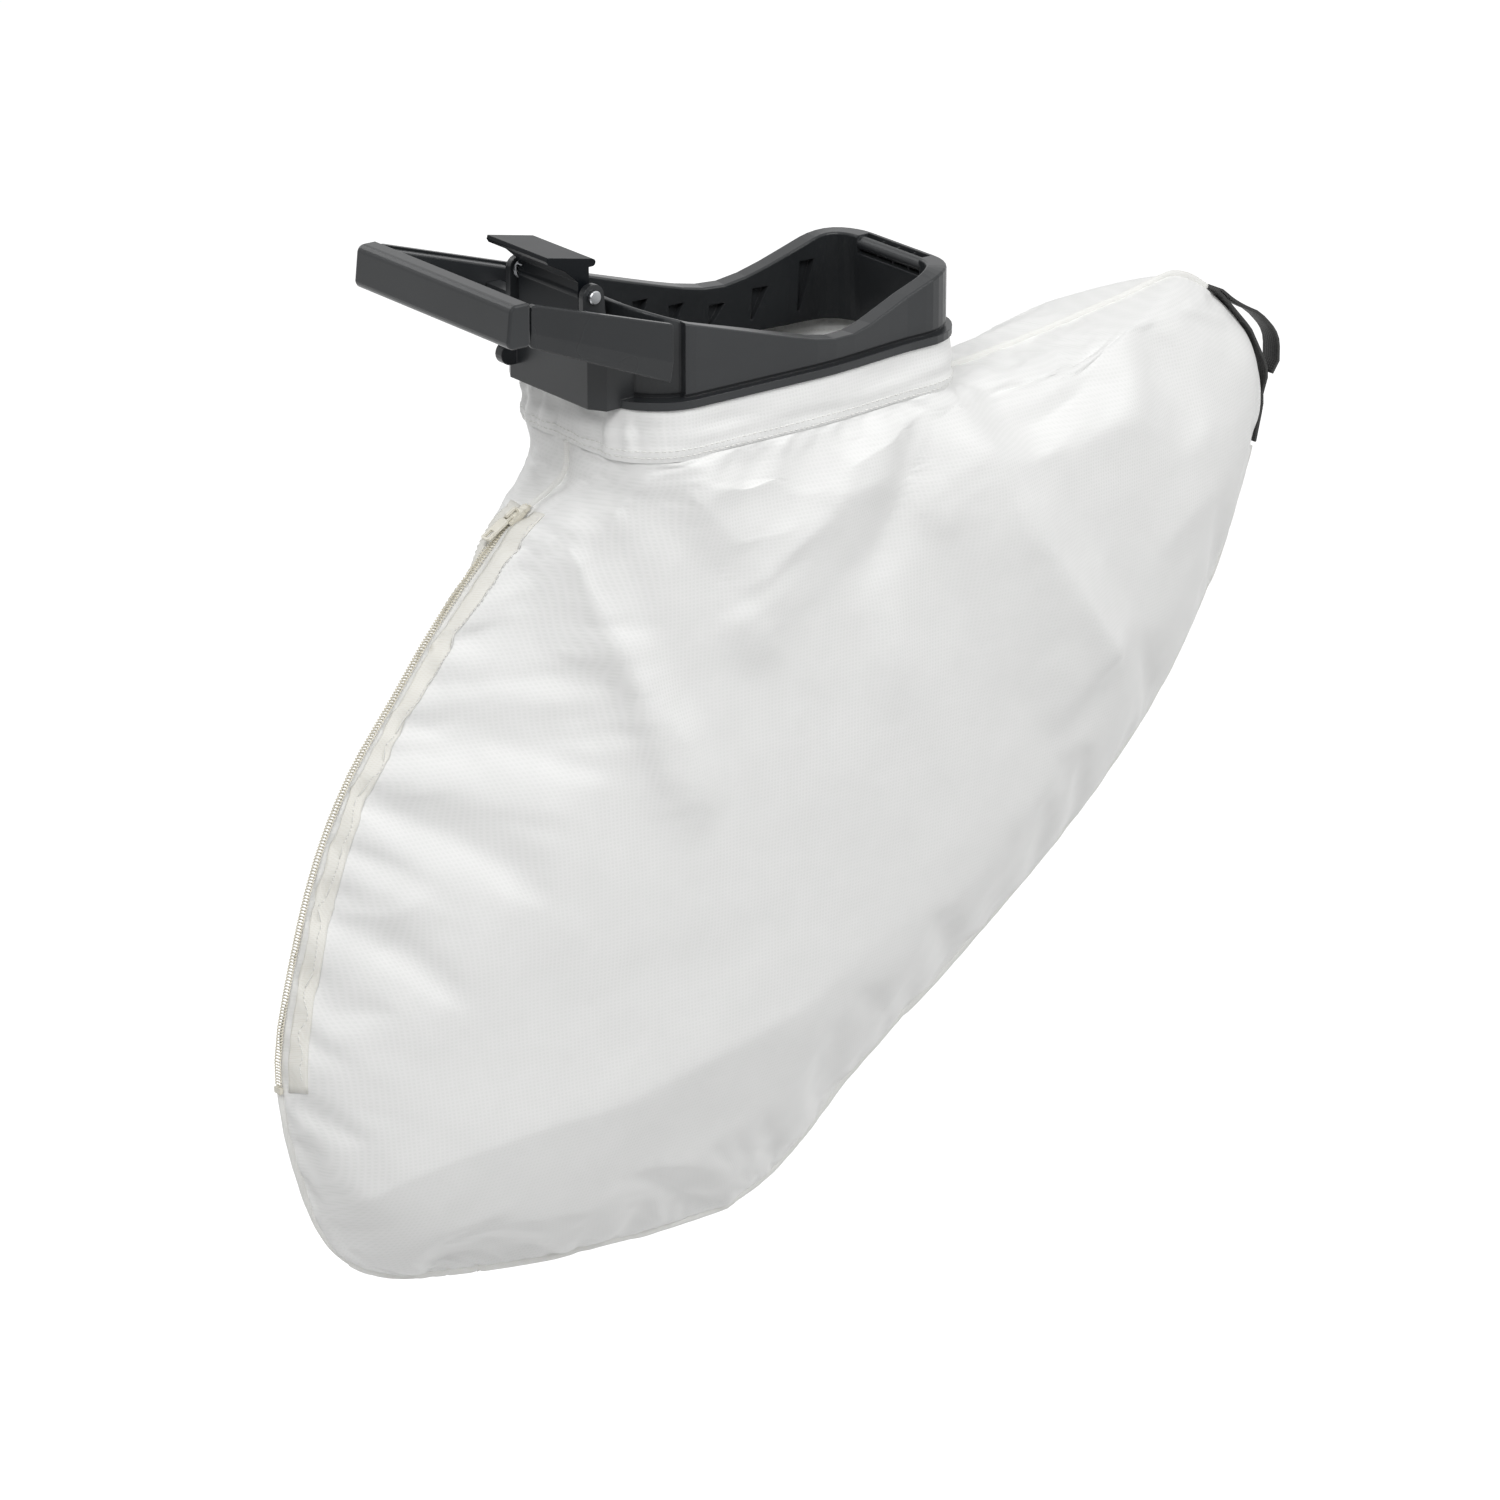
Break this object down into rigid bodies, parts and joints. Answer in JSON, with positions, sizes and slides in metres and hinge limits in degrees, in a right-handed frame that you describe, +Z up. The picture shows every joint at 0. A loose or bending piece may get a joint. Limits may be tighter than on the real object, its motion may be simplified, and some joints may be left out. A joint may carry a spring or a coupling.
{
  "type": "blower vacuum collection bag",
  "caption": "Zipped white cloth collection bag on a dark moulded collar with a loop handle, a sprung latch lever and a webbing grab loop.",
  "frame": {"origin": "middle of the collar's mouth, level with the top of its lip", "axes": "+X from the latch to the hook bar, +Y across the bag to the side with the lug, +Z up out of the mouth"},
  "size_m": [0.6229, 0.124, 0.5293],
  "materials": {
    "moulded_plastic": "satin, dark grey, fine moulded texture",
    "zinc_steel": "zinc plated",
    "spring_steel": "drawn wire",
    "coated_cloth": "white coated plain weave",
    "elastic_cord": "braided, white",
    "seam_tape": "folded woven tape, off-white",
    "webbing": "ribbed webbing, black",
    "zip_tape": "knitted tape, cream",
    "zip_coil": "nylon coil, cream",
    "zip_metal": "painted, cream"
  },
  "bodies": {
    "collar": {"collar_frame": "moulded_plastic", "latch_pin": "zinc_steel", "latch_spring": "spring_steel", "handle_loop": "moulded_plastic", "side_cover_near": "moulded_plastic", "side_cover_far": "moulded_plastic", "handle_screw_near": "zinc_steel", "handle_screw_far": "zinc_steel", "neck_cuff": "coated_cloth", "cuff_hem": "coated_cloth", "cuff_elastic": "elastic_cord", "bag_panel_near": "coated_cloth", "bag_panel_far": "coated_cloth", "neck_seam_tape": "seam_tape", "upper_edge_piping": "seam_tape", "lower_edge_piping": "seam_tape", "zip_tape_near": "zip_tape", "zip_tape_far": "zip_tape", "zip_coil_near": "zip_coil", "zip_coil_far": "zip_coil", "zip_top_stop": "zip_metal", "zip_bottom_stop": "zip_metal", "zip_slider": "zip_metal", "strap_base": "webbing", "strap_loop": "webbing"},
    "latch": {"latch_lever": "moulded_plastic"},
    "pull": {"zip_pull": "zip_metal"}
  },
  "joints": [
    {"name": "latch_hinge", "type": "hinge", "parent": "collar", "child": "latch", "pos_m": [-0.11, 0, 0.05], "axis": [0, -1, 0], "range_deg": [0, 15], "stiffness_Nm_per_rad": 0.12, "springref_deg": -22.92, "deforming": ["latch_spring"]},
    {"name": "zip_pull_hinge", "type": "hinge", "parent": "collar", "child": "pull", "pos_m": [-0.13774, 0, -0.06041], "axis": [0, 1, 0], "range_deg": [0, 105]}
  ]
}
